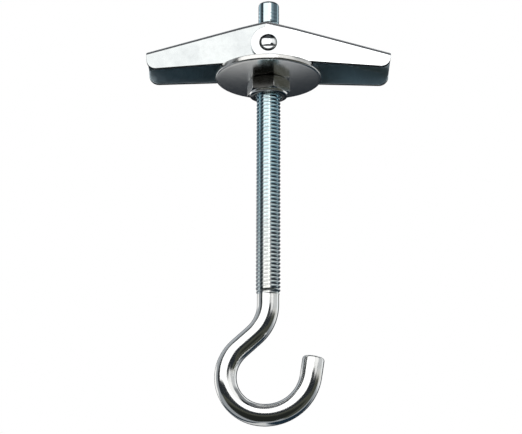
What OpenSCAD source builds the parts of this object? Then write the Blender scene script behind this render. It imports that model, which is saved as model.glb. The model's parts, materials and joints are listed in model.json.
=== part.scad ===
// Spring toggle bolt with a hook, for hanging things from a hollow ceiling.
// A threaded rod runs down into a bent hook. A cross nut on the rod carries two
// channel-shaped wings, which a double torsion spring holds open and which fold down
// over the rod. A large washer and a hexagon nut close against the ceiling from below.
// Lengths are in millimetres. The origin is on the rod's axis, level with the top of the washer's rim.
// +Z runs up the rod, +X points towards the hook's tip, and the wings pivot about Y.

/* [Bolt] */
// Outside diameter of the thread
thread_d = 4.9; // [3.9:0.1:5.9]
// Distance from the bolt's top end to the end of its thread
thread_len = 63.1; // [55:0.1:90]
// Diameter of the plain lead at the top end
lead_d = 4.3; // [3.2:0.1:5]
// Length of the plain lead
lead_len = 4.5; // [2:0.1:7]
// Chamfer round the top end
lead_chamfer = 0.6; // [0.2:0.1:1]
// Length of the run-out at each end of the thread
run_out = 0.5; // [0.2:0.1:1]
// Distance from the bolt's top end down to the wings' pivot
pivot_drop = 11.5; // [10:0.1:20]

/* [Hook] */
// Diameter of the plain wire that the hook is bent from
wire_d = 4.4; // [3:0.1:5.4]
// Straight wire between the thread and the neck's bend
neck_len = 1.7; // [0.5:0.1:12]
// Centre-line radius of the neck's bend, which turns the wire away from the tip
neck_r = 8.5; // [6:0.1:12]
// Angle of the neck's bend
neck_turn = 47.5; // [35:0.5:55]
// Straight wire that slants back from the neck
slant_len = 4.05; // [2:0.05:8]
// Centre-line radius at the top of the hook's back
back_r = 8.2; // [6:0.1:11]
// Angle of the bend at the top of the back
back_turn = 24.8; // [10:0.2:40]
// Centre-line radius of the hook's bowl
bowl_r = 7.56; // [6:0.02:11]
// Angle of the bend round the bowl
bowl_turn = 103.6; // [90:0.2:110]
// Centre-line radius of the rise to the tip
rise_r = 9.1; // [7:0.1:12]
// Angle of the bend in the rise
rise_turn = 90.4; // [70:0.2:100]
// Straight wire at the tip
tip_len = 3.9; // [1:0.1:8]
// Chamfer round the tip
tip_chamfer = 0.5; // [0.2:0.1:1]

/* [Cross nut] */
// Metal between the thread and the side of the cross nut's barrel
barrel_wall = 1.0; // [0.6:0.1:2]
// Metal between the thread and each end of the barrel
barrel_end = 0.6; // [0.4:0.1:2]
// Chamfer on the barrel's ends
barrel_chamfer = 0.3; // [0.1:0.1:0.5]
// Diameter of the two journals that the wings turn on
journal_d = 3.45; // [2.6:0.05:4]
// How far the journals stand out of the outer wing before they crown
journal_proud = 0.1; // [0:0.05:0.5]
// Height of the crowned journal ends
crown_h = 0.45; // [0.3:0.05:0.8]

/* [Wings] */
// Thickness of the wings' sheet
sheet = 0.8; // [0.5:0.1:1.2]
// Distance from the pivot to a wing's tip, along its open edge
wing_len = 25.2; // [20:0.1:34]
// Angle between a wing's web and its open edge
web_slope = 11.7; // [9:0.1:12.5]
// How much higher the left wing's web stands than the right wing's
left_rise = 0.6; // [0:0.1:1]
// How much each flange comes in between the pivot and the tip
taper = 1.25; // [0.5:0.05:1.8]
// Length from the pivot over which the flanges stay parallel
ear_len = 4.5; // [4:0.1:7]
// Metal round the journal's hole, which sets the radius of a flange's round end
ear_edge = 1.8; // [1.2:0.1:1.9]
// Outside radius of the bends between web and flanges
bend_r = 1.0; // [0.9:0.05:1.4]
// Radius of the flanges' lower corner at the tip
tip_r = 2.0; // [0.8:0.1:2]
// How far the top corner of a flange reaches past the pivot
peak_reach = 0.9; // [0.5:0.1:1.3]
// Radius of that corner
peak_r = 1.2; // [0.6:0.1:1.5]
// How far the wings' open edges droop below level when the wings are open
droop = 3; // [1:0.5:6]

/* [Spring] */
// Diameter of the spring's wire
spring_wire = 0.5; // [0.3:0.05:0.7]
// Full turns in each of the spring's two coils
spring_turns = 2; // [1:1:3]
// Reach of the spring's legs along the webs
leg_reach = 8.5; // [5:0.1:12]
// Radius of the corners where the legs turn into the cross bar
leg_corner = 1.0; // [0.6:0.1:1.5]

/* [Washer and nut] */
// Diameter of the washer
washer_d = 22; // [16:0.1:26]
// Thickness of the washer
washer_t = 1.2; // [0.6:0.1:2]
// Rounding of the washer's rim, below
rim_r = 0.45; // [0.1:0.05:0.5]
// How far the washer is dished: its middle lies this much below its rim
dish = 0.5; // [0.1:0.1:1]
// Width of the nut across its flats
nut_af = 8; // [7.5:0.1:12]
// Height of the nut
nut_h = 3.5; // [2:0.1:6]
// Depth of the chamfers on the nut's corners
nut_chamfer = 0.45; // [0.2:0.05:0.8]
// Angle of the nut's first corner from +X
nut_angle = -15.5; // [-30:0.5:30]

/* [Clearances] */
// Radial clearance of the cross nut and the hexagon nut on the thread
thread_gap = 0.05; // [0.02:0.01:0.08]
// Radial clearance of the wings on the journals
journal_gap = 0.075; // [0.02:0.005:0.09]
// Clearance between the flanges of the two wings
flange_gap = 0.1; // [0.05:0.05:0.3]
// Clearance between the cross nut's barrel and the webs
web_gap = 0.5; // [0.3:0.05:1]
// Clearance round the rod in the washer and in the webs' notches
rod_gap = 0.3; // [0.2:0.05:0.6]
// Clearance at each end of a spring coil
coil_gap = 0.12; // [0.05:0.01:0.3]
// Clearance inside a spring coil, and between coil turns and under the webs
wire_gap = 0.05; // [0.02:0.01:0.1]
// Clearance between the wings' open edges and the washer's rim
rest_gap = 0.12; // [0.05:0.01:0.5]

/* [Hidden] */
$fn = 96;
// overshoot of cutting tools, and a length beyond any of the sheet parts
cut = 1;
far = 60;
// length of the sleeves over the hook's seams, and how far they stand proud of the wire
seam = 0.4;
seam_proud = 0.01;

// cross nut, and what goes round the rod
thread_r = thread_d / 2;
thread_bore = thread_r + thread_gap;
rod_hole = thread_r + rod_gap;
barrel_r = thread_bore + barrel_wall;
barrel_half = thread_bore + barrel_end;
journal_r = journal_d / 2;
journal_hole = journal_r + journal_gap;

// spring
coil_pitch = spring_wire + wire_gap;
coil_r = journal_hole + 2 * wire_gap + spring_wire / 2;
coil_near = barrel_half + coil_gap + spring_wire / 2;
coil_far = coil_near + spring_turns * coil_pitch;

// wings: half widths over the flanges at the pivot. The left wing nests in the right one
left_half = coil_far + spring_wire / 2 + coil_gap + sheet;
right_half = left_half + flange_gap + sheet;
ear_r = journal_hole + ear_edge;
// distances from the pivot to the webs' outer faces
right_web = barrel_r + web_gap + sheet;
left_web = right_web + left_rise;
web_back = peak_reach - flange_gap;
taper_angle = atan(taper / (wing_len - ear_len));
web_angle = web_slope + droop;

// washer: radius of its dished faces, and the slope of its rim
rim = washer_d / 2;
dish_r = (rim * rim + dish * dish) / (2 * dish);
rim_slope = asin(rim / dish_r);

// heights above the top of the washer's rim
pivot_z = ear_r / cos(droop) + rim * tan(droop) + rest_gap;
bolt_top = pivot_z + pivot_drop;

// The hook bolt ---------------------------------------------------------------------

// a thin sleeve over the seam where one piece of wire meets the next. The pieces stop
// a quarter of its length short of the seam, so that they only meet inside it
module wire_seam() {
    translate([0, 0, -seam / 2]) cylinder(d = wire_d + 2 * seam_proud, h = seam);
}

// a straight length of wire, and what follows it
module wire_straight(length) {
    wire_seam();
    translate([0, 0, seam / 4]) cylinder(d = wire_d, h = length - seam / 2);
    translate([0, 0, length]) children();
}

// a bend of the wire, towards +X for side = 1 and towards -X for side = -1,
// and what follows it
module wire_bend(radius, angle, side) {
    inset = seam / 4 / radius * 180 / PI;
    wire_seam();
    rotate([0, 0, side > 0 ? 0 : 180])
        translate([radius, 0, 0])
            rotate([90, 0, 0])
                rotate([0, 0, 180 - angle + inset])
                    rotate_extrude(angle = angle - 2 * inset)
                        translate([radius, 0])
                            circle(d = wire_d);
    translate([side * radius * (1 - cos(angle)), 0, radius * sin(angle)])
        rotate([0, side * angle, 0])
            children();
}

// the straight end of the wire, with its chamfer
module wire_tip(length) {
    body = length - tip_chamfer;
    wire_seam();
    translate([0, 0, seam / 4]) cylinder(d = wire_d, h = body - seam / 4);
    translate([0, 0, body]) cylinder(d1 = wire_d, d2 = wire_d - 2 * tip_chamfer, h = tip_chamfer);
}

// the hook, drawn along its wire from the end of the neck to the tip
module hook() {
    wire_bend(neck_r, neck_turn, -1)
        wire_straight(slant_len)
            wire_bend(back_r, back_turn, 1)
                wire_bend(bowl_r, bowl_turn, 1)
                    wire_bend(rise_r, rise_turn, 1)
                        wire_tip(tip_len);
}

// the rod and the hook's neck, from the top end downwards
module rod() {
    cylinder(d1 = lead_d - 2 * lead_chamfer, d2 = lead_d, h = lead_chamfer);
    translate([0, 0, lead_chamfer])
        cylinder(d = lead_d, h = lead_len - lead_chamfer);
    translate([0, 0, lead_len])
        cylinder(d1 = lead_d, d2 = thread_d, h = run_out);
    translate([0, 0, lead_len + run_out])
        cylinder(d = thread_d, h = thread_len - lead_len - run_out);
    translate([0, 0, thread_len])
        cylinder(d1 = thread_d, d2 = wire_d, h = run_out);
    translate([0, 0, thread_len + run_out])
        cylinder(d = wire_d, h = neck_len);
}

module hook_bolt() {
    color("silver")
        translate([0, 0, bolt_top])
            rotate([180, 0, 0]) {
                rod();
                translate([0, 0, thread_len + run_out + neck_len]) hook();
            }
}

// The cross nut ---------------------------------------------------------------------

// one end of the cross nut, along +Z: half of the barrel, a journal and its crown
module trunnion_half() {
    journal_end = right_half + journal_proud;
    crown_r = (journal_r * journal_r + crown_h * crown_h) / (2 * crown_h);
    cylinder(r = barrel_r, h = barrel_half - barrel_chamfer);
    translate([0, 0, barrel_half - barrel_chamfer])
        cylinder(r1 = barrel_r, r2 = barrel_r - barrel_chamfer, h = barrel_chamfer);
    cylinder(r = journal_r, h = journal_end);
    intersection() {
        translate([0, 0, journal_end + crown_h - crown_r]) sphere(r = crown_r);
        translate([0, 0, journal_end]) cylinder(r = barrel_r, h = crown_h + cut);
    }
}

module trunnion() {
    color("lightsteelblue")
        translate([0, 0, pivot_z])
            difference() {
                union() {
                    rotate([-90, 0, 0]) trunnion_half();
                    rotate([90, 0, 0]) trunnion_half();
                }
                translate([0, 0, -barrel_r - cut])
                    cylinder(r = thread_bore, h = 2 * (barrel_r + cut));
            }
}

// The wings -------------------------------------------------------------------------

// height above the pivot, at distance u along the open edge, of the outer face of a web
// that passes the pivot at distance web
function web_top(web, u) = web / cos(web_slope) - u * tan(web_slope);

// a corner of an outline and the points before and after it: where its rounding of
// radius r starts and ends, and the rounding's centre
function corner_cut(a, p, b, r) =
    let (
        ua = (a - p) / norm(a - p),
        ub = (b - p) / norm(b - p),
        half = acos(ua * ub) / 2,
        mid = (ua + ub) / norm(ua + ub)
    )
    [p + ua * r / tan(half), p + ub * r / tan(half), p + mid * r / sin(half)];

// a wing from the side: open edge below, web above, a round ear about the pivot
module wing_side(web) {
    heel = [-peak_reach, 0];
    toe = [0, -ear_r];
    tip_low = [wing_len, -ear_r];
    tip_high = [wing_len, web_top(web, wing_len)];
    peak = [-peak_reach, web_top(web, -peak_reach)];
    low = corner_cut(toe, tip_low, tip_high, tip_r);
    top = corner_cut(tip_high, peak, heel, peak_r);
    difference() {
        union() {
            polygon([heel, toe, low[0], low[1], tip_high, top[0], top[1]]);
            circle(r = ear_r);
            translate(low[2]) circle(r = tip_r);
            translate(top[2]) circle(r = peak_r);
        }
        circle(r = journal_hole);
    }
}

// section through one bent edge of the sheet: a flange below Y = 0, whose outer face is
// at X = 0, and the web, whose outer face is at Y = 0 and which runs towards -X
module bend_section() {
    difference() {
        union() {
            translate([-far, -sheet]) square([far - bend_r, sheet]);
            translate([-sheet, -far]) square([sheet, far - bend_r]);
            translate([-bend_r, -bend_r]) intersection() {
                circle(r = bend_r);
                square(bend_r);
            }
        }
        translate([-bend_r, -bend_r]) circle(r = bend_r - sheet);
    }
}

// a straight run of the bent edge along +X, from -far to far
module bent_edge() {
    translate([-far, 0, 0])
        rotate([90, 0, 90])
            linear_extrude(height = 2 * far) bend_section();
}

// half of the channel, at +Y: its flange runs straight past the pivot, and comes in by
// taper_angle beyond ear_len. The two runs meet in a mitre
module channel_half(half) {
    kink = [ear_len, half, 0];
    intersection() {
        translate(kink) bent_edge();
        translate(kink)
            rotate([0, 0, -taper_angle / 2])
                translate([-far, -far, -far])
                    cube([far, 2 * far, 2 * far]);
        translate([-far, 0, -far]) cube(2 * far);
    }
    intersection() {
        translate(kink) rotate([0, 0, -taper_angle]) bent_edge();
        translate(kink)
            rotate([0, 0, -taper_angle / 2])
                translate([0, -far, -far])
                    cube([far, 2 * far, 2 * far]);
        translate([-far, 0, -far]) cube(2 * far);
    }
}

// a wing that points to +X. Half its width over the flanges at the pivot is given, and
// the distance from the pivot to its web's outer face
module wing(half, web) {
    translate([0, 0, pivot_z])
        difference() {
            rotate([0, droop, 0])
                difference() {
                    intersection() {
                        translate([0, half + cut, 0])
                            rotate([90, 0, 0])
                                linear_extrude(height = 2 * (half + cut)) wing_side(web);
                        rotate([0, web_slope, 0])
                            translate([0, 0, web]) {
                                channel_half(half);
                                mirror([0, 1, 0]) channel_half(half);
                            }
                    }
                    // the web ends short of the pivot, between the ears
                    translate([web_back - far, sheet - half, journal_r])
                        cube([far, 2 * (half - sheet), web]);
                }
            // notch in the web's end, which stops the open wing against the rod
            cylinder(r = rod_hole, h = 2 * web);
        }
}

module wing_left() {
    color("gainsboro") mirror([1, 0, 0]) wing(left_half, left_web);
}

module wing_right() {
    color("whitesmoke") wing(right_half, right_web);
}

// The spring ------------------------------------------------------------------------

function unit(v) = v / norm(v);

// a point at radius r and angle a about the pivot's axis, at y along it
function about_pivot(r, a, y) = [r * cos(a), y, r * sin(a)];

// end of a leg under a web that slopes down towards +X, seen along Y: leg_reach out
// along the web, and wire_gap clear of it
function leg_end(web) =
    let (depth = web - sheet - wire_gap - spring_wire / 2)
    [
        leg_reach * cos(web_angle) + depth * sin(web_angle),
        depth * cos(web_angle) - leg_reach * sin(web_angle)
    ];

// angle at which that leg leaves the coil
function leg_angle(web) =
    let (end = leg_end(web))
    atan2(end[1], end[0]) + acos(coil_r / norm(end));

right_leg = leg_end(right_web);
left_leg = leg_end(left_web);
coil_start = leg_angle(right_web);
coil_sweep = 360 * spring_turns + 180 - leg_angle(left_web) - coil_start;
coil_steps = 16 * spring_turns;
corner_steps = 4;

// centre line of half of the spring, at +Y: from the leg under the right web, round the
// coil towards the barrel, out along the leg under the left web and into the cross bar
function half_spring() = concat(
    [[right_leg[0], coil_far, right_leg[1]]],
    [for (i = [0 : coil_steps])
        about_pivot(coil_r, coil_start + coil_sweep * i / coil_steps,
            coil_far - (coil_far - coil_near) * i / coil_steps)],
    [for (i = [0 : corner_steps])
        let (a = 90 * i / corner_steps, back = leg_corner * (1 - sin(a)))
        [
            -left_leg[0] + back * cos(web_angle),
            coil_near - leg_corner * (1 - cos(a)),
            left_leg[1] + back * sin(web_angle)
        ]]
);

function mirrored(path) = [
    for (i = [len(path) - 1 : -1 : 0]) [path[i][0], -path[i][1], path[i][2]]
];

function heading(path, i) = unit(path[min(i + 1, len(path) - 1)] - path[max(i - 1, 0)]);

// a direction square to the path at each of its points, carried along without twist
function sides_of(path) = [
    for (i = 0, n = [0, 1, 0]; i < len(path);
        i = i + 1, n = unit(n - (n * heading(path, i)) * heading(path, i))) n
];

// a wire of diameter d along a path
module wire_along(path, d, sides = 8) {
    side = sides_of(path);
    last = len(path) - 1;
    points = [
        for (i = [0 : last]) for (k = [0 : sides - 1])
            let (a = 360 * k / sides, other = cross(heading(path, i), side[i]))
            path[i] + d / 2 * (cos(a) * side[i] + sin(a) * other)
    ];
    walls = [
        for (i = [0 : last - 1]) for (k = [0 : sides - 1])
            let (a = i * sides + k, b = i * sides + (k + 1) % sides)
            each [[a, b + sides, b], [a, a + sides, b + sides]]
    ];
    start_cap = [[for (k = [0 : sides - 1]) k]];
    end_cap = [[for (k = [sides - 1 : -1 : 0]) last * sides + k]];
    polyhedron(points = points, faces = concat(start_cap, walls, end_cap), convexity = 10);
}

module spring() {
    color("dimgray")
        translate([0, 0, pivot_z])
            wire_along(concat(half_spring(), mirrored(half_spring())), spring_wire);
}

// Washer and nut --------------------------------------------------------------------

// height of the washer's top face at radius r
function washer_top(r) = dish_r - sqrt(dish_r * dish_r - r * r) - dish;

// section through the washer: its underside from the hole outwards, the rounded rim, and
// its top face back to the hole
module washer_section() {
    steps = 8;
    edge = rim - rim_r * (1 - sin(rim_slope));
    rim_z = washer_top(edge) - washer_t + rim_r * cos(rim_slope);
    polygon(concat(
        [for (i = [0 : steps])
            let (r = rod_hole + (edge - rod_hole) * i / steps)
            [r, washer_top(r) - washer_t]],
        [for (i = [1 : steps])
            let (a = (rim_slope - 90) * (1 - i / steps))
            [rim - rim_r + rim_r * cos(a), rim_z + rim_r * sin(a)]],
        [for (i = [steps : -1 : 0])
            let (r = rod_hole + (rim - rod_hole) * i / steps)
            [r, washer_top(r)]]
    ));
}

module washer() {
    color("rosybrown") rotate_extrude() washer_section();
}

module hex_nut() {
    corner_r = nut_af / 2 / cos(30);
    // the cones that turn the corners off fall by nut_chamfer from the flats outwards
    cone_r = nut_af / 2 + nut_h * (corner_r - nut_af / 2) / nut_chamfer;
    color("slategray")
        translate([0, 0, -washer_t - dish - nut_h])
            difference() {
                intersection() {
                    rotate([0, 0, nut_angle]) cylinder(r = corner_r, h = nut_h, $fn = 6);
                    cylinder(r1 = nut_af / 2, r2 = cone_r, h = nut_h);
                    cylinder(r1 = cone_r, r2 = nut_af / 2, h = nut_h);
                }
                translate([0, 0, -cut]) cylinder(r = thread_bore, h = nut_h + 2 * cut);
            }
}

hook_bolt();
trunnion();
spring();
wing_left();
wing_right();
washer();
hex_nut();
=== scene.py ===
# Looks of a spring toggle bolt with a hook: its rolled thread and bent wire, the sprung
# wings pressed from sheet, the cross nut, spring, dished washer and nut, their zinc finish,
# and the studio round them. Every length is in metres. The origin is on the rod's axis,
# level with the top of the washer's rim, +Z runs up the rod and +X points to the hook's tip.

import json
import math

import bmesh
import bpy
from mathutils import Matrix, Vector


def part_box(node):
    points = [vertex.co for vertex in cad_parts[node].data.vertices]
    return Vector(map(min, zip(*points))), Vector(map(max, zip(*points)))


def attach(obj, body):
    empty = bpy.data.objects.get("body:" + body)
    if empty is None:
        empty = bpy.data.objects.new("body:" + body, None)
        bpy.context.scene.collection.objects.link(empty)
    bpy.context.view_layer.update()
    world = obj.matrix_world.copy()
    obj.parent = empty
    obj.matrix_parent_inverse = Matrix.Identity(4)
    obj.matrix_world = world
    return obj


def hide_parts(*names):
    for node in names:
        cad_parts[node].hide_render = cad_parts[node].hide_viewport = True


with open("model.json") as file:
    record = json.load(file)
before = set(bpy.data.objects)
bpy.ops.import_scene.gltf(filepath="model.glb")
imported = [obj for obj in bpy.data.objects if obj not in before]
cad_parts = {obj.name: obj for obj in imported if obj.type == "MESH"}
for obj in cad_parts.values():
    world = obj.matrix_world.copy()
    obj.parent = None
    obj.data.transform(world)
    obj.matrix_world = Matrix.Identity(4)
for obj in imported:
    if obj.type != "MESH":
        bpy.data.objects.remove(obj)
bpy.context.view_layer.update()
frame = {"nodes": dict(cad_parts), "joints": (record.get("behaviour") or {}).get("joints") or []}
NODES = frame["nodes"]
MM = 0.001
MERGE = 0.002 * MM
FINE_MERGE = 0.001 * MM
HAIR = 0.0005 * MM

# the rod, from its top end down
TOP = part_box("hook_bolt")[1].z
PITCH = 0.8 * MM
CREST_R = 2.45 * MM
WIRE_R = 2.2 * MM
ROOT_R = 2.04 * MM
LEAD_R = 2.15 * MM
LEAD_LEN = 4.5 * MM
END_CHAMFER = 0.6 * MM
THREAD_LEN = 63.1 * MM
RUN_OUT = 0.5 * MM
AROUND = 48

# the hook, along its wire from the end of the neck: radius of each bend, its angle, and the
# side it bends to (+1 is +X), or the length of a straight
NECK_LEN = 1.7 * MM
HOOK_RUN = [
    ("bend", 8.5 * MM, 47.5, -1),
    ("straight", 4.05 * MM),
    ("bend", 8.2 * MM, 24.8, 1),
    ("bend", 7.56 * MM, 103.6, 1),
    ("bend", 9.1 * MM, 90.4, 1),
    ("straight", 3.4 * MM),
]
TIP_CHAMFER = 0.5 * MM

# the cross nut that the wings pivot on, along Y from its middle
PIVOT = Vector(next(j["pos_m"] for j in frame["joints"] if j["name"] == "right_wing_fold"))
BORE_R = 2.5 * MM
BARREL_R = 3.5 * MM
BARREL_HALF = 3.1 * MM
JOURNAL_R = 1.725 * MM
JOURNAL_END = 6.74 * MM
CROWN_H = 0.45 * MM
BARREL_CHAMFER = 0.3 * MM
JOURNAL_EDGE = 0.3 * MM
EDGE_DROP = 0.18 * MM
CROP_DEPTH = 0.06 * MM
CROP_DROP = 0.86 * MM
CROP_SLOPE = 0.85

# the spring: its wire, its two coils, and its legs under the webs
SPRING_R = 0.25 * MM
COIL_R = 2.15 * MM
COIL_NEAR = 3.47 * MM
COIL_FAR = 4.57 * MM
COIL_TURNS = 2
WEB_ANGLE = math.radians(14.7)
LEG_REACH = 8.5 * MM
RIGHT_LEG_DEPTH = 3.7 * MM
LEFT_LEG_DEPTH = 4.3 * MM
LEG_CORNER = 1.0 * MM
LEG_WIND = math.radians(80)

# the wings: half of their width over the flanges, how fast that narrows beyond the ears, the
# distance from the pivot to their webs, and how far their edges are rounded
LEFT_HALF = 5.74 * MM
RIGHT_HALF = 6.64 * MM
TAPER = math.tan(math.radians(3.46))
LEFT_WEB = 5.4 * MM
RIGHT_WEB = 4.8 * MM
SHEET_EDGE = 0.1 * MM

# washer and nut
RIM_R = 11 * MM
HOLE_R = 2.75 * MM
WASHER_T = 1.2 * MM
DISH = 0.5 * MM
RIM_ROUND = 0.45 * MM
NUT_FLAT = 4 * MM
NUT_H = 3.5 * MM
NUT_CHAMFER = 0.45 * MM
NUT_COLLAR = 0.66 * MM
NUT_BASE = -WASHER_T - DISH - NUT_H
NUT_TURN = math.radians(-15.5)


# Modelling helpers ------------------------------------------------------------------------

def deselect():
    bpy.ops.object.select_all(action="DESELECT")


def pick(piece):
    deselect()
    bpy.context.view_layer.objects.active = piece
    piece.select_set(True)


def edit(piece):
    pick(piece)
    bpy.ops.object.mode_set(mode="EDIT")


def done():
    bpy.ops.object.mode_set(mode="OBJECT")


def select_where(piece, test, kind="VERT"):
    """Selects, in edit mode, the vertices or faces that pass the test."""
    bpy.ops.mesh.select_mode(type=kind)
    bpy.ops.mesh.select_all(action="DESELECT")
    mesh = bmesh.from_edit_mesh(piece.data)
    for part in mesh.faces if kind == "FACE" else mesh.verts:
        part.select_set(test(part))
    mesh.select_flush(True)
    bmesh.update_edit_mesh(piece.data)


def extrude(move):
    bpy.ops.mesh.extrude_region_move(TRANSFORM_OT_translate={"value": move})


def apply_all(piece):
    pick(piece)
    for modifier in list(piece.modifiers):
        bpy.ops.object.modifier_apply(modifier=modifier.name)


def settle(piece):
    """Puts the piece's place into its mesh, so that its object sits at the origin."""
    pick(piece)
    bpy.ops.object.transform_apply(location=True, rotation=True, scale=True)


def smooth(piece, angle):
    pick(piece)
    bpy.ops.object.shade_smooth_by_angle(angle=math.radians(angle))


def named(name):
    piece = bpy.context.object
    piece.name = piece.data.name = name
    return piece


def ramp(x, low, high):
    """Rises smoothly from 0 at low to 1 at high."""
    t = min(1, max(0, (x - low) / (high - low)))
    return t * t * (3 - 2 * t)


def soften(piece, width, angle, segments=2):
    """Rounds the piece's sharp edges."""
    bevel = piece.modifiers.new("edges", "BEVEL")
    bevel.width = width
    bevel.segments = segments
    bevel.limit_method = "ANGLE"
    bevel.angle_limit = math.radians(angle)
    bevel.use_clamp_overlap = False
    apply_all(piece)


def flatten(piece):
    """Keeps flat faces flat in the shading, with the turn of it all in the rounded edges."""
    weighted = piece.modifiers.new("flat", "WEIGHTED_NORMAL")
    weighted.mode = "FACE_AREA"
    weighted.weight = 90
    weighted.keep_sharp = True
    apply_all(piece)


def turned(name, outline, axis="Z", steps=128, closed=True):
    """A lathe-turned piece: outline is (radius, height) points along the axis."""
    bpy.ops.mesh.primitive_plane_add(size=MM, location=(0, 0, 0))
    piece = named(name)
    edit(piece)
    bpy.ops.mesh.merge(type="CENTER")
    r, h = outline[0]
    bpy.ops.transform.translate(value=(r, 0, h))
    points = outline[1:] + outline[:1] if closed else outline[1:]
    for a, b in zip(outline, points):
        bpy.ops.mesh.extrude_vertices_move(
            TRANSFORM_OT_translate={"value": (b[0] - a[0], 0, b[1] - a[1])})
    bpy.ops.mesh.select_all(action="SELECT")
    bpy.ops.mesh.spin(steps=steps, angle=2 * math.pi, center=(0, 0, 0), axis=(0, 0, 1),
                      use_auto_merge=False)
    bpy.ops.mesh.select_all(action="SELECT")
    bpy.ops.mesh.remove_doubles(threshold=FINE_MERGE)
    bpy.ops.mesh.normals_make_consistent(inside=False)
    if axis == "Y":
        bpy.ops.transform.rotate(value=math.pi / 2, orient_axis="X",
                                 center_override=(0, 0, 0))
    done()
    return piece


def cut(piece, tool, how="DIFFERENCE"):
    """Cuts the tool out of the piece, or keeps only what both hold."""
    boolean = piece.modifiers.new("cut", "BOOLEAN")
    boolean.operation = how
    boolean.solver = "EXACT"
    boolean.object = tool
    apply_all(piece)
    bpy.data.objects.remove(tool, do_unlink=True)


def bow(centre, radius, start, end, steps):
    """Points on an arc, as (radius, height) pairs."""
    angles = [start + (end - start) * i / steps for i in range(steps + 1)]
    return [(centre[0] + radius * math.cos(a), centre[1] + radius * math.sin(a))
            for a in angles]


def stand_in(piece, body, node):
    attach(piece, body)
    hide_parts(node)


# The bolt: rolled thread, bent wire and chamfered ends -------------------------------------

def thread_radius(t):
    """Radius of the rolled thread at share t of one pitch, root at 0 and crest at 0.5."""
    side = 1 - abs(2 * t - 1)
    return ROOT_R + (CREST_R - ROOT_R) * ramp(side, 0.08, 0.86)


def thread_strength(z):
    """How much of the thread's depth is rolled at height z: little on the lead."""
    drop = TOP - z
    lead = 0.05 * ramp(drop, 1.4 * MM, 2.4 * MM)
    full = ramp(drop, LEAD_LEN - 0.2 * MM, LEAD_LEN + 2 * RUN_OUT)
    gone = ramp(drop, THREAD_LEN - 0.8 * MM, THREAD_LEN + RUN_OUT)
    return (lead + (1 - lead) * full) * (1 - gone)


def core_radius(z):
    """Radius of the blank that the thread is rolled on."""
    return LEAD_R + (WIRE_R - LEAD_R) * ramp(TOP - z, LEAD_LEN, LEAD_LEN + 2 * RUN_OUT)


def rolled_thread(low, high):
    """The rod from low to high: a profile of one pitch, screwed up along the axis."""
    segments = 12
    bpy.ops.mesh.primitive_plane_add(size=MM, location=(0, 0, 0))
    rod = named("threaded_hook")
    edit(rod)
    bpy.ops.mesh.merge(type="CENTER")
    start = Vector((thread_radius(0), 0, low - PITCH))
    bpy.ops.transform.translate(value=start)
    for i in range(segments):
        rise = thread_radius((i + 1) / segments) - thread_radius(i / segments)
        bpy.ops.mesh.extrude_vertices_move(
            TRANSFORM_OT_translate={"value": (rise, 0, PITCH / segments)})
    done()
    screw = rod.modifiers.new("screw", "SCREW")
    screw.axis = "Z"
    screw.steps = screw.render_steps = AROUND
    screw.screw_offset = PITCH
    screw.iterations = math.ceil((high - low) / PITCH) + 1
    screw.use_merge_vertices = False
    apply_all(rod)
    for v in rod.data.vertices:
        z = min(high, max(low, v.co.z))
        out = math.hypot(v.co.x, v.co.y)
        r = core_radius(z) + (out - WIRE_R) * thread_strength(z)
        v.co = (v.co.x * r / out, v.co.y * r / out, z)
    edit(rod)
    bpy.ops.mesh.select_all(action="SELECT")
    bpy.ops.mesh.remove_doubles(threshold=MERGE)
    bpy.ops.mesh.dissolve_degenerate(threshold=FINE_MERGE)
    return rod


def rounded_end(ahead, radius, chamfer, steps):
    """Rounds the selected end of a wire over, towards ahead, and closes it."""
    for i in range(steps):
        a, b = (math.radians(90 * k / steps) for k in (i, i + 1))
        before, after = (radius - chamfer * (1 - math.cos(x)) for x in (a, b))
        extrude(ahead * chamfer * (math.sin(b) - math.sin(a)))
        bpy.ops.transform.resize(value=[after / before] * 3)
    bpy.ops.mesh.edge_face_add()


def bent_hook(rod, low):
    """Draws the wire on from the rod's lower end, through the hook's bends, to the tip."""
    select_where(rod, lambda v: v.co.z < low + HAIR)
    extrude((0, 0, -NECK_LEN))
    at = Vector((0, 0, low - NECK_LEN))
    heading = 0.0
    for run in HOOK_RUN:
        ahead = Vector((math.sin(heading), 0, -math.cos(heading)))
        if run[0] == "straight":
            extrude(ahead * run[1])
            at += ahead * run[1]
            continue
        radius, turn, side = run[1], math.radians(run[2]), run[3]
        across = Vector((math.cos(heading), 0, math.sin(heading))) * side
        centre = at + across * radius
        bpy.ops.mesh.spin(steps=max(6, round(run[2] / 3)), angle=turn, center=centre,
                          axis=(0, side, 0), use_auto_merge=False)
        heading += side * turn
        at = centre - Vector((math.cos(heading), 0, math.sin(heading))) * side * radius
    ahead = Vector((math.sin(heading), 0, -math.cos(heading)))
    rounded_end(ahead, WIRE_R, TIP_CHAMFER, 3)


def make_bolt():
    top = TOP - END_CHAMFER
    low = TOP - THREAD_LEN - RUN_OUT
    rod = rolled_thread(low, top)
    select_where(rod, lambda v: v.co.z > top - HAIR)
    rounded_end(Vector((0, 0, 1)), LEAD_R, END_CHAMFER, 4)
    bent_hook(rod, low)
    bpy.ops.mesh.select_all(action="SELECT")
    bpy.ops.mesh.normals_make_consistent(inside=False)
    done()
    settle(rod)
    smooth(rod, 38)
    stand_in(rod, "bolt", "hook_bolt")
    return rod


# The toggle: cross nut, spring and pressed wings --------------------------------------------

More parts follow.
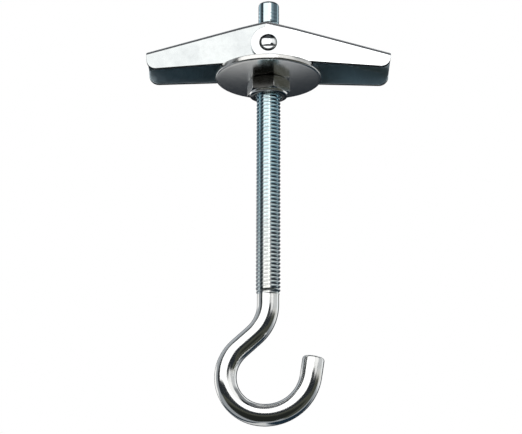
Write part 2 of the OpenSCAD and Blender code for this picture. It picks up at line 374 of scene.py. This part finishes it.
def make_cross_nut():
    """Turned all over, bored across for the rod, with crowned and cropped ends."""
    crown_r = (JOURNAL_R ** 2 + CROWN_H ** 2) / (2 * CROWN_H)
    tilt = math.asin(JOURNAL_R / crown_r)
    rim = (JOURNAL_R - JOURNAL_EDGE, JOURNAL_END - EDGE_DROP)
    half = bow((0, JOURNAL_END + CROWN_H - crown_r), crown_r, math.radians(90),
               math.radians(90) - 0.9 * tilt, 24)
    half[0] = (0.0, JOURNAL_END + CROWN_H)
    half += bow(rim, JOURNAL_EDGE, math.radians(62), 0, 6)
    half += [(JOURNAL_R, BARREL_HALF + 0.1 * MM), (JOURNAL_R + 0.1 * MM, BARREL_HALF),
             (BARREL_R - BARREL_CHAMFER, BARREL_HALF), (BARREL_R, BARREL_HALF - BARREL_CHAMFER)]
    outline = half + [(r, -h) for r, h in reversed(half)]
    nut = turned("cross_nut", outline, axis="Y", closed=False)
    # a shallow step, as cropping a bar leaves, runs across each crowned end
    for side in (-1, 1):
        bpy.ops.mesh.primitive_cube_add(size=2)
        crop = named("crop")
        for v in crop.data.vertices:
            out = CROP_DEPTH if v.co.y * side < 0 else 1.5 * MM
            up = -CROP_DROP + CROP_SLOPE * (out - CROP_DEPTH) if v.co.z > 0 else -3 * MM
            v.co = (v.co.x * 3 * MM, side * (JOURNAL_END + out), up)
        cut(nut, crop)
    nut.data.transform(Matrix.Translation(PIVOT))
    bore = turned("bore", [(0.0, -5 * MM), (BORE_R + 0.6 * MM, -5 * MM),
                           (BORE_R + 0.6 * MM, -BARREL_R + 0.15 * MM),
                           (BORE_R, -BARREL_R + 0.6 * MM), (BORE_R, BARREL_R - 0.6 * MM),
                           (BORE_R + 0.6 * MM, BARREL_R - 0.15 * MM),
                           (BORE_R + 0.6 * MM, 5 * MM), (0.0, 5 * MM)], steps=64, closed=False)
    bore.data.transform(Matrix.Translation(PIVOT))
    cut(nut, bore)
    settle(nut)
    smooth(nut, 32)
    stand_in(nut, "toggle", "trunnion")
    return nut


def make_wing(name, node, body):
    """A pressed channel: the CAD wing with the rounded edges that stamping leaves."""
    wing = bpy.data.objects.new(name, NODES[node].data.copy())
    bpy.context.scene.collection.objects.link(wing)
    wing.data.name = name
    edit(wing)
    bpy.ops.mesh.select_all(action="SELECT")
    bpy.ops.mesh.remove_doubles(threshold=MERGE)
    bpy.ops.mesh.dissolve_limited(angle_limit=math.radians(0.4))
    done()
    soften(wing, SHEET_EDGE, 50, 3)
    smooth(wing, 50)
    flatten(wing)
    stand_in(wing, body, node)
    return wing


def wire(name, path, radius=SPRING_R):
    """A closed length of spring wire along a path of points."""
    curve = bpy.data.curves.new(name, "CURVE")
    curve.dimensions = "3D"
    curve.bevel_depth = radius
    curve.bevel_resolution = 3
    curve.use_fill_caps = True
    strand = curve.splines.new("POLY")
    strand.points.add(len(path) - 1)
    for point, place in zip(strand.points, path):
        point.co = (*place, 1)
    piece = bpy.data.objects.new(name, curve)
    bpy.context.scene.collection.objects.link(piece)
    pick(piece)
    bpy.ops.object.convert(target="MESH")
    piece = bpy.context.object
    edit(piece)
    bpy.ops.mesh.select_all(action="SELECT")
    bpy.ops.mesh.remove_doubles(threshold=MERGE)
    bpy.ops.mesh.normals_make_consistent(inside=False)
    done()
    smooth(piece, 40)
    return piece


def joined(name, parts):
    deselect()
    for part in parts:
        part.select_set(True)
    bpy.context.view_layer.objects.active = parts[0]
    bpy.ops.object.join()
    return named(name)


def leg_end(depth):
    """End of a leg under a web that slopes down towards +X, from the pivot, seen along Y."""
    return Vector((LEG_REACH * math.cos(WEB_ANGLE) + depth * math.sin(WEB_ANGLE), 0,
                   depth * math.cos(WEB_ANGLE) - LEG_REACH * math.sin(WEB_ANGLE)))


def leg_angle(end):
    """Angle about the pivot at which a leg to that end leaves the coil."""
    return math.atan2(end.z, end.x) + math.acos(COIL_R / end.length)


def make_spring():
    """Two coils on the journals, a leg under the right wing and a bar under the left one."""
    right, left = leg_end(RIGHT_LEG_DEPTH), leg_end(LEFT_LEG_DEPTH)
    start = leg_angle(right)
    sweep = 2 * math.pi * COIL_TURNS + math.pi - leg_angle(left) - start

    def on_coil(share, side):
        angle = start + sweep * share
        along = COIL_FAR + (COIL_NEAR - COIL_FAR) * share
        return PIVOT + Vector((COIL_R * math.cos(angle), side * along, COIL_R * math.sin(angle)))

    def arc(a, b, side):
        steps = max(2, math.ceil(abs(b - a) * sweep / math.radians(7)))
        return [on_coil(a + (b - a) * i / steps, side) for i in range(steps + 1)]

    wind = LEG_WIND / sweep
    thin = SPRING_R * 0.96
    coils = [wire("coil", arc(0, 1, side)) for side in (-1, 1)]
    right_legs = [
        wire("leg", [PIVOT + right + Vector((0, side * COIL_FAR, 0))] + arc(0, wind, side), thin)
        for side in (-1, 1)]
    near_corner = [
        PIVOT + Vector((-left.x + LEG_CORNER * (1 - math.sin(a)) * math.cos(WEB_ANGLE),
                        COIL_NEAR - LEG_CORNER * (1 - math.cos(a)),
                        left.z + LEG_CORNER * (1 - math.sin(a)) * math.sin(WEB_ANGLE)))
        for a in (math.radians(90) * i / 6 for i in range(7))]
    far_corner = [Vector((p.x, -p.y, p.z)) for p in reversed(near_corner)]
    bar = wire("bar", arc(1 - wind, 1, 1) + near_corner + far_corner + arc(1, 1 - wind, -1), thin)
    made = []
    for name, parts, body in (("spring_coils", coils, "toggle"),
                              ("spring_right_legs", right_legs, "right_wing"),
                              ("spring_left_bar", [bar], "left_wing")):
        piece = joined(name, parts)
        stand_in(piece, body, "spring")
        made.append(piece)
    return made


# Washer and nut -----------------------------------------------------------------------------

def make_washer():
    """Dished by the nut's pull, with a rounded rim and a punched hole."""
    dish_r = (RIM_R ** 2 + DISH ** 2) / (2 * DISH)
    slope = math.asin(RIM_R / dish_r)
    edge = 0.12 * MM

    def face(r):
        return dish_r - math.sqrt(dish_r ** 2 - r * r) - DISH

    rim_in = RIM_R - RIM_ROUND * (1 - math.sin(slope))
    rim_z = face(rim_in) - WASHER_T + RIM_ROUND * math.cos(slope)
    rings = 14
    under = [HOLE_R + edge + (rim_in - HOLE_R - edge) * i / rings for i in range(rings + 1)]
    over = [RIM_R - edge - (RIM_R - HOLE_R - 2 * edge) * i / rings for i in range(rings + 1)]
    outline = [(HOLE_R, face(HOLE_R) - WASHER_T + edge),
               (HOLE_R + 0.3 * edge, face(HOLE_R) - WASHER_T + 0.3 * edge)]
    outline += [(r, face(r) - WASHER_T) for r in under]
    outline += bow((RIM_R - RIM_ROUND, rim_z), RIM_ROUND, slope - math.pi / 2, 0, 8)[1:]
    outline += [(RIM_R, -edge), (RIM_R - 0.3 * edge, -0.3 * edge)]
    outline += [(r, face(r)) for r in over]
    outline += [(HOLE_R + 0.3 * edge, face(HOLE_R) - 0.3 * edge), (HOLE_R, face(HOLE_R) - edge)]
    washer = turned("dished_washer", outline)
    settle(washer)
    smooth(washer, 60)
    flatten(washer)
    stand_in(washer, "washer", "washer")
    return washer


def make_nut():
    """A hexagon turned off at its corners, round at its foot, countersunk at its thread."""
    corner = NUT_FLAT / math.cos(math.radians(30))
    base = NUT_BASE
    bpy.ops.mesh.primitive_cylinder_add(vertices=6, radius=corner, depth=NUT_H,
                                        location=(0, 0, base + NUT_H / 2),
                                        rotation=(0, 0, NUT_TURN + math.radians(30)))
    nut = named("plated_nut")
    settle(nut)
    fall = NUT_CHAMFER / (corner - NUT_FLAT)
    spread = 1 * MM
    out = corner + spread
    blank = turned("blank", [
        (0.0, base), (NUT_FLAT - 0.6 * MM, base), (NUT_FLAT - 0.1 * MM, base + 0.28 * MM),
        (NUT_FLAT - 0.02 * MM, base + NUT_COLLAR),
        (out, base + NUT_COLLAR + 0.5 * (out - NUT_FLAT) * fall),
        (out, base + NUT_H - (out - NUT_FLAT) * fall), (NUT_FLAT - 0.1 * MM, base + NUT_H),
        (0.0, base + NUT_H)], steps=96, closed=False)
    cut(nut, blank, "INTERSECT")
    sink = 0.45 * MM
    bore = turned("bore", [
        (0.0, base - spread), (BORE_R + sink, base - spread), (BORE_R + sink, base),
        (BORE_R, base + sink), (BORE_R, base + NUT_H - sink), (BORE_R + sink, base + NUT_H),
        (BORE_R + sink, base + NUT_H + spread), (0.0, base + NUT_H + spread)],
        steps=96, closed=False)
    cut(nut, bore)
    soften(nut, 0.07 * MM, 28)
    smooth(nut, 40)
    flatten(nut)
    stand_in(nut, "nut", "hex_nut")
    return nut


bolt = make_bolt()
cross_nut = make_cross_nut()
wing_left = make_wing("pressed_wing_left", "wing_left", "left_wing")
wing_right = make_wing("pressed_wing_right", "wing_right", "right_wing")
spring_pieces = make_spring()
washer = make_washer()
nut = make_nut()


# Finishes ---------------------------------------------------------------------------------

def link(tree, a, b):
    tree.links.new(a, b)


class Nodes:
    """Short forms for the maths in a node tree."""

    def __init__(self, tree):
        self.tree = tree

    def value(self, socket, source):
        if hasattr(source, "is_output"):
            link(self.tree, source, socket)
        elif isinstance(source, tuple) and len(source) == 3 and socket.type == "RGBA":
            socket.default_value = (*source, 1)
        else:
            socket.default_value = source

    def add(self, kind, **settings):
        node = self.tree.nodes.new(kind)
        for name, setting in settings.items():
            setattr(node, name, setting)
        return node

    def math(self, operation, a, b=0.0, c=0.0):
        node = self.add("ShaderNodeMath", operation=operation)
        for socket, source in zip(node.inputs, (a, b, c)):
            self.value(socket, source)
        return node.outputs[0]

    def rise(self, x, low, high, first=0.0, last=1.0):
        """Smoothly from first where x is low to last where it is high."""
        node = self.add("ShaderNodeMapRange", interpolation_type="SMOOTHSTEP")
        for socket, source in zip(node.inputs, (x, low, high, first, last)):
            self.value(socket, source)
        return node.outputs[0]

    def band(self, x, low, high, soft):
        return self.math("MULTIPLY", self.rise(x, low - soft, low + soft),
                         self.math("SUBTRACT", 1.0, self.rise(x, high - soft, high + soft)))

    def mix(self, share, a, b, blend="MIX"):
        node = self.add("ShaderNodeMix", data_type="RGBA", blend_type=blend)
        for socket, source in zip((node.inputs["Factor"], node.inputs[6], node.inputs[7]),
                                  (share, a, b)):
            self.value(socket, source)
        return node.outputs[2]

    def noise(self, where, scale, detail=3.0, rough=0.55):
        node = self.add("ShaderNodeTexNoise")
        link(self.tree, where, node.inputs["Vector"])
        for name, setting in (("Scale", scale), ("Detail", detail), ("Roughness", rough)):
            node.inputs[name].default_value = setting
        return node.outputs["Fac"]


def make_plating():
    """Zinc plating: cloudy passivation colour, uneven haze and a faint waviness."""
    group = bpy.data.node_groups.new("zinc_plating", "ShaderNodeTree")
    inputs = (("Metal", "NodeSocketColor"), ("Passivation", "NodeSocketColor"),
              ("Cloud", "NodeSocketFloat"), ("Haze", "NodeSocketFloat"),
              ("Waviness", "NodeSocketFloat"), ("Grain", "NodeSocketFloat"))
    for name, kind in inputs:
        group.interface.new_socket(name, in_out="INPUT", socket_type=kind)
    for name, kind in (("Colour", "NodeSocketColor"), ("Haze", "NodeSocketFloat"),
                       ("Relief", "NodeSocketVector")):
        group.interface.new_socket(name, in_out="OUTPUT", socket_type=kind)
    n = Nodes(group)
    given = n.add("NodeGroupInput").outputs
    result = n.add("NodeGroupOutput").inputs
    where = n.add("ShaderNodeTexCoord").outputs["Object"]
    cloud = n.noise(where, 260.0, 4.0)
    streak = n.noise(where, 700.0, 3.0)
    fine = n.noise(where, 5200.0, 2.0)
    broad = n.noise(where, 170.0, 2.0, 0.4)
    share = n.math("MULTIPLY", n.rise(cloud, 0.36, 0.66), given["Cloud"])
    colour = n.mix(share, given["Metal"], given["Passivation"])
    colour = n.mix(n.rise(streak, 0.42, 0.75, 0.0, 0.16), colour, (0.55, 0.56, 0.56), "MULTIPLY")
    link(group, colour, result["Colour"])
    uneven = n.math("MULTIPLY_ADD", n.rise(streak, 0.3, 0.75, -0.4, 0.75), given["Cloud"], 1.0)
    haze = n.math("MULTIPLY", given["Haze"], uneven)
    link(group, haze, result["Haze"])
    height = n.math("MULTIPLY", broad, given["Waviness"])
    height = n.math("ADD", height, n.math("MULTIPLY", fine, given["Grain"]))
    bump = n.add("ShaderNodeBump")
    bump.inputs["Strength"].default_value = 1.0
    bump.inputs["Distance"].default_value = 0.1 * MM
    link(group, height, bump.inputs["Height"])
    link(group, bump.outputs["Normal"], result["Relief"])
    return group


plating = make_plating()


def zinc(name, metal, passivation, cloud, haze, waviness, grain, shade=None):
    """A zinc finish. shade, if given, changes colour and haze from place to place."""
    made = bpy.data.materials.new(name)
    made.use_nodes = True
    tree = made.node_tree
    shader = tree.nodes["Principled BSDF"]
    shader.inputs["Metallic"].default_value = 1
    n = Nodes(tree)
    skin = n.add("ShaderNodeGroup", node_tree=plating)
    for socket, source in zip(skin.inputs,
                              (metal, passivation, cloud, haze, waviness, grain)):
        n.value(socket, source)
    colour, cloudy = skin.outputs["Colour"], skin.outputs["Haze"]
    if shade:
        colour, cloudy = shade(n, colour, cloudy)
    link(tree, colour, shader.inputs["Base Color"])
    link(tree, cloudy, shader.inputs["Roughness"])
    link(tree, skin.outputs["Relief"], shader.inputs["Normal"])
    return made


def place(n):
    """The object's own X, Y and Z."""
    parts = n.add("ShaderNodeSeparateXYZ")
    link(n.tree, n.add("ShaderNodeTexCoord").outputs["Object"], parts.inputs[0])
    return parts.outputs


def distance(n, a, b):
    return n.math("SQRT", n.math("ADD", n.math("MULTIPLY", a, a), n.math("MULTIPLY", b, b)))


def rod_shade(n, colour, haze):
    """Bluer towards the top of the rod, with a painted bluish reflection on its sides.

    Two strips of painted shade run along the thread's sides, darkest in its grooves.
    """
    x, y, z = place(n)
    threaded = n.rise(z, TOP - THREAD_LEN - RUN_OUT, TOP - THREAD_LEN)
    groove = n.rise(distance(n, x, y), ROOT_R + 0.04 * MM, CREST_R - 0.1 * MM, 1.0, 0.0)
    # painted shade: two strips down the sides of the thread, darkest in the grooves, and a dark
    # layer over the whole surface in the left one
    sides = n.math("MAXIMUM", n.band(x, -1.62 * MM, -1.05 * MM, 0.15 * MM),
                   n.band(x, 0.6 * MM, 1.9 * MM, 0.25 * MM))
    painted_shade = n.math("MULTIPLY", n.math("MULTIPLY", groove, sides), 0.95)
    painted_layer_shade = n.math("MULTIPLY", n.band(x, -1.5 * MM, -1.05 * MM, 0.12 * MM), 0.6)
    painted_shade = n.math("MULTIPLY", n.math("MAXIMUM", painted_shade, painted_layer_shade), threaded)
    top = n.rise(z, -45 * MM, -12 * MM)
    colour = n.mix(n.math("MULTIPLY", top, 0.8), colour, (0.80, 0.95, 1.0), "MULTIPLY")
    # painted reflection: a bluish tint on the sides of the threaded part, stronger towards the
    # top
    away = n.math("MAXIMUM", n.rise(x, -1.3 * MM, -0.9 * MM, 1.0, 0.0),
                  n.rise(x, 0.4 * MM, 0.8 * MM))
    painted_reflection_tint = n.math("MULTIPLY", n.math("MULTIPLY", away, threaded),
                  n.math("MULTIPLY_ADD", top, 0.35, 0.35))
    colour = n.mix(painted_reflection_tint, colour, (0.70, 0.91, 1.0), "MULTIPLY")
    return n.mix(painted_shade, colour, (0.03, 0.05, 0.07), "MULTIPLY"), haze


def wing_shade(half, web):
    """Painted shade inside a wing's channel, half that wide, with duller plating, and on downward
    cut edges.
    """
    def shade(n, colour, haze):
        x, y, z = place(n)
        x, y = n.math("ABSOLUTE", x), n.math("ABSOLUTE", y)
        narrowing = n.math("MULTIPLY", n.math("MAXIMUM", n.math("SUBTRACT", x, 4.5 * MM), 0.0),
                           TAPER)
        wall = n.math("SUBTRACT", half - 0.45 * MM, narrowing)
        between = n.rise(n.math("SUBTRACT", wall, y), -0.1 * MM, 0.1 * MM)
        roof = n.math("SUBTRACT", PIVOT.z + web / math.cos(WEB_ANGLE) - 0.4 * MM,
                      n.math("MULTIPLY", x, math.tan(WEB_ANGLE)))
        under = n.rise(n.math("SUBTRACT", roof, z), -0.1 * MM, 0.1 * MM)
        inside = n.math("MULTIPLY", between, under)
        # painted shade on the cut edges that face down
        down = n.add("ShaderNodeSeparateXYZ")
        link(n.tree, n.add("ShaderNodeTexCoord").outputs["Normal"], down.inputs[0])
        painted_edge_shade = n.math("MULTIPLY", n.rise(down.outputs[2], -0.55, -0.25, 1.0, 0.0),
                          n.rise(n.math("SUBTRACT", wall, y), 0.29 * MM, 0.34 * MM, 0.95, 0.0))
        # painted shade: the inside of the channel darker and bluer
        colour = n.mix(inside, colour, (0.66, 0.77, 0.82))
        return (n.mix(painted_edge_shade, colour, (0.03, 0.04, 0.045)),
                n.math("ADD", haze, n.math("MULTIPLY", inside, 0.2)))
    return shade


def nut_shade(n, colour, haze):
    """A painted dark reflection on one side of the nut's flats and painted shade on its foot.

    The bright collar between them is a painted highlight.
    """
    x, y, z = place(n)
    base = NUT_BASE
    # painted reflection on one side of the flats, and painted shade on the foot
    flats = n.math("MULTIPLY", n.rise(z, base + NUT_COLLAR, base + NUT_COLLAR + 0.06 * MM),
                   n.band(x, -3.2 * MM, 1.12 * MM, 0.05 * MM))
    foot = n.rise(z, base + 0.1 * MM, base + 0.3 * MM, 0.7, 0.0)
    dark = n.math("MULTIPLY", n.math("MAXIMUM", flats, foot), 0.94)
    # painted highlight on the collar
    painted_highlight = n.band(z, base + 0.3 * MM, base + NUT_COLLAR - 0.02 * MM, 0.02 * MM)
    colour = n.mix(painted_highlight, colour, (0.97, 0.97, 0.96))
    return n.mix(dark, colour, (0.04, 0.04, 0.036), "MULTIPLY"), haze


def pin_shade(n, colour, haze):
    """Painted shade round the ends of the cross nut's journals and on their steps, less at +X."""
    x, y, z = place(n)
    # painted shade: a ring round each journal's end and a line across its step
    ring = n.rise(distance(n, x, n.math("SUBTRACT", z, PIVOT.z)),
                  JOURNAL_R - 0.42 * MM, JOURNAL_R - 0.32 * MM)
    step = n.band(z, PIVOT.z - CROP_DROP, PIVOT.z - 0.58 * MM, 0.02 * MM)
    dark = n.math("MULTIPLY", n.math("MAXIMUM", ring, n.math("MULTIPLY", step, 0.5)),
                  n.rise(x, 0.9 * MM, 1.4 * MM, 0.97, 0.4))
    return n.mix(dark, colour, (0.03, 0.035, 0.035), "MULTIPLY"), haze


def paint(piece, finish):
    piece.data.materials.clear()
    piece.data.materials.append(finish)


rod_zinc = zinc("rod_zinc", (0.96, 0.96, 0.94), (0.91, 0.93, 0.92), 0.6, 0.11, 0.10, 0.010,
                rod_shade)
left_zinc, right_zinc = (
    zinc(name, metal, clouds, 0.8, 0.12, 0.10, 0.008, wing_shade(half, web))
    for name, metal, clouds, half, web in (
        ("left_wing_zinc", (0.79, 0.82, 0.81), (0.69, 0.72, 0.72), LEFT_HALF, LEFT_WEB),
        ("right_wing_zinc", (0.93, 0.94, 0.94), (0.81, 0.84, 0.85), RIGHT_HALF, RIGHT_WEB)))
washer_zinc = zinc("washer_zinc", (0.86, 0.85, 0.82), (0.78, 0.78, 0.77), 0.15, 0.2, 0.02, 0.0)
nut_zinc = zinc("nut_zinc", (0.84, 0.83, 0.80), (0.74, 0.76, 0.77), 0.6, 0.16, 0.12, 0.02,
                nut_shade)
pin_zinc = zinc("pin_zinc", (0.93, 0.95, 0.95), (0.86, 0.91, 0.92), 0.5, 0.10, 0.05, 0.01,
                pin_shade)
spring_wire = zinc("spring_wire", (0.52, 0.51, 0.49), (0.42, 0.42, 0.43), 0.5, 0.28, 0.05, 0.02)

for piece, finish in ((bolt, rod_zinc), (cross_nut, pin_zinc), (wing_left, left_zinc),
                      (wing_right, right_zinc), (washer, washer_zinc), (nut, nut_zinc),
                      *((piece, spring_wire) for piece in spring_pieces)):
    paint(piece, finish)
for name, finish in (("hook_bolt", rod_zinc), ("trunnion", pin_zinc), ("spring", spring_wire),
                     ("wing_left", left_zinc), ("wing_right", right_zinc),
                     ("washer", washer_zinc), ("hex_nut", nut_zinc)):
    for slot in NODES[name].material_slots:
        slot.material = finish


# Studio -----------------------------------------------------------------------------------

def make_floor():
    """Pale paper under the part, which polished metal doesn't show."""
    bpy.ops.mesh.primitive_plane_add(size=3, location=(0, 0, -0.2))
    floor = named("studio_floor")
    made = bpy.data.materials.new("floor_paper")
    made.use_nodes = True
    shader = made.node_tree.nodes["Principled BSDF"]
    shader.inputs["Base Color"].default_value = (0.92, 0.92, 0.92, 1)
    shader.inputs["Roughness"].default_value = 0.9
    # clear from below, so that it never hides the part
    n = Nodes(made.node_tree)
    sides = n.add("ShaderNodeMixShader")
    link(n.tree, n.add("ShaderNodeNewGeometry").outputs["Backfacing"], sides.inputs[0])
    link(n.tree, shader.outputs[0], sides.inputs[1])
    link(n.tree, n.add("ShaderNodeBsdfTransparent").outputs[0], sides.inputs[2])
    link(n.tree, sides.outputs[0], n.tree.nodes["Material Output"].inputs["Surface"])
    paint(floor, made)
    floor.visible_glossy = False


# What polished metal sees round it, where the camera sees white. It is laid out for the view
# of make_camera, and the part looks darker from behind. Each card is an azimuth range from
# the front (-Y) towards +X, an elevation range, how soft its edges are, in degrees, and its
# colour. Later cards cover earlier ones.
SURROUND = (0.32, 0.34, 0.36)
CARDS = [
    # dark ceiling
    ((-200, 200), (64, 100), 8, (0.12, 0.12, 0.13)),
    # walls at the back, pale but for the upper left
    ((-200, -106), (22, 62), 4, (0.42, 0.45, 0.48)),
    ((-200, -106), (-6, 22), 4, (1.0, 1.0, 1.0)),
    ((100, 200), (-6, 62), 8, (0.90, 0.92, 0.93)),
    # side walls: left, and right with a light sill
    ((-114, -84), (-70, 62), 7, (0.30, 0.32, 0.34)),
    ((46, 128), (34, 64), 6, (0.20, 0.21, 0.22)),
    ((46, 112), (6, 34), 6, (0.56, 0.57, 0.58)),
    ((42, 125), (-2, 8), 3, (0.70, 0.70, 0.68)),
    # dark floor in front, darker below
    ((-78, 95), (-66, 4), 5, (0.060, 0.063, 0.050)),
    ((-80, 60), (-82, -24), 6, (0.016, 0.018, 0.016)),
    # pale paper under the back, between two dark patches
    ((-200, -150), (-84, -32), 7, (0.62, 0.62, 0.62)),
    ((172, 200), (-84, -32), 7, (0.50, 0.52, 0.55)),
    ((-150, -126), (-76, -12), 5, (0.012, 0.025, 0.04)),
    ((108, 172), (-80, -20), 6, (0.012, 0.025, 0.04)),
    # the dark edges of the soft box, and the dimmer box to its right, wider at its top
    ((-84, 58), (-12, 64), 2, (0.020, 0.024, 0.028)),
    ((34, 56), (7, 20), 3, (0.85, 0.85, 0.85)),
    ((4, 60), (15, 46), 2, (0.95, 0.95, 0.95)),
]
# the dark side of the room, behind the part as the camera sees it: the azimuth and
# elevation of its middle, half of its width and height, in degrees, and its colour
FAR_SIDE = (174, 12, 40, 42, (0.020, 0.025, 0.032))


def make_world():
    """White to the camera, even light for dull surfaces, and the cards for polished metal."""
    world = bpy.data.worlds.new("studio")
    bpy.context.scene.world = world
    world.use_nodes = True
    tree = world.node_tree
    n = Nodes(tree)
    parts = n.add("ShaderNodeSeparateXYZ")
    link(tree, n.add("ShaderNodeTexCoord").outputs["Generated"], parts.inputs[0])
    x, y, z = parts.outputs
    to_degrees = 180 / math.pi
    elevation = n.math("MULTIPLY", n.math("ARCSINE", z), to_degrees)
    azimuth = n.math("MULTIPLY", n.math("ARCTAN2", x, n.math("MULTIPLY", y, -1.0)), to_degrees)
    colour = SURROUND
    for (left, right), (low, high), soft, card in CARDS:
        mask = n.math("MULTIPLY", n.band(azimuth, left, right, soft),
                      n.band(elevation, low, high, soft))
        colour = n.mix(mask, colour, card)
    side, middle, half_wide, half_high, dark = FAR_SIDE
    turned_from = n.math("WRAP", n.math("SUBTRACT", azimuth, float(side)), 180.0, -180.0)
    across = n.math("DIVIDE", turned_from, float(half_wide))
    up = n.math("DIVIDE", n.math("SUBTRACT", elevation, float(middle)), float(half_high))
    away = n.math("SQRT", n.math("ADD", n.math("MULTIPLY", across, across),
                                 n.math("MULTIPLY", up, up)))
    colour = n.mix(n.rise(away, 0.85, 1.1, 1.0, 0.0), colour, dark)
    path = n.add("ShaderNodeLightPath")
    glossy = n.mix(path.outputs["Is Glossy Ray"], (0.95, 0.95, 0.95), colour)
    shown = n.mix(path.outputs["Is Camera Ray"], glossy, (1.0, 1.0, 1.0))
    link(tree, shown, tree.nodes["Background"].inputs["Color"])


def make_soft_box():
    """The main light: a large soft box in front of the part, above it and to its left."""
    azimuth, elevation, away = math.radians(-24), math.radians(24), 200 * MM
    wide, high, glow = 300 * MM, 204 * MM, 1.2
    ahead = Vector((math.sin(azimuth) * math.cos(elevation),
                    -math.cos(azimuth) * math.cos(elevation), math.sin(elevation)))
    bpy.ops.object.light_add(type="AREA", location=ahead * away + Vector((0, 0, -20 * MM)))
    box = bpy.context.object
    box.rotation_euler = (-ahead).to_track_quat("-Z", "Y").to_euler()
    box.data.shape = "RECTANGLE"
    box.data.size, box.data.size_y = wide, high
    box.data.energy = glow * math.pi * wide * high
    box.visible_camera = False


def make_camera():
    """Below the part, in front of it and a little to its right, looking up."""
    pitch = math.radians(18.16)
    turn = math.radians(1.0)
    ahead, aside, height = 354.1 * MM, 1.47 * MM, -147.3 * MM
    bpy.ops.object.camera_add(
        location=(ahead * math.sin(turn) - aside * math.cos(turn),
                  -ahead * math.cos(turn) - aside * math.sin(turn), height),
        rotation=(math.pi / 2 + pitch, 0, turn))
    camera = bpy.context.object
    camera.rotation_euler.rotate_axis("Z", math.radians(0.2))
    camera.data.lens = 127.17
    camera.data.sensor_width = 36
    camera.data.clip_start = 0.01
    bpy.context.scene.camera = camera


make_floor()
make_world()
make_soft_box()
make_camera()
bpy.context.scene.view_settings.view_transform = "Standard"
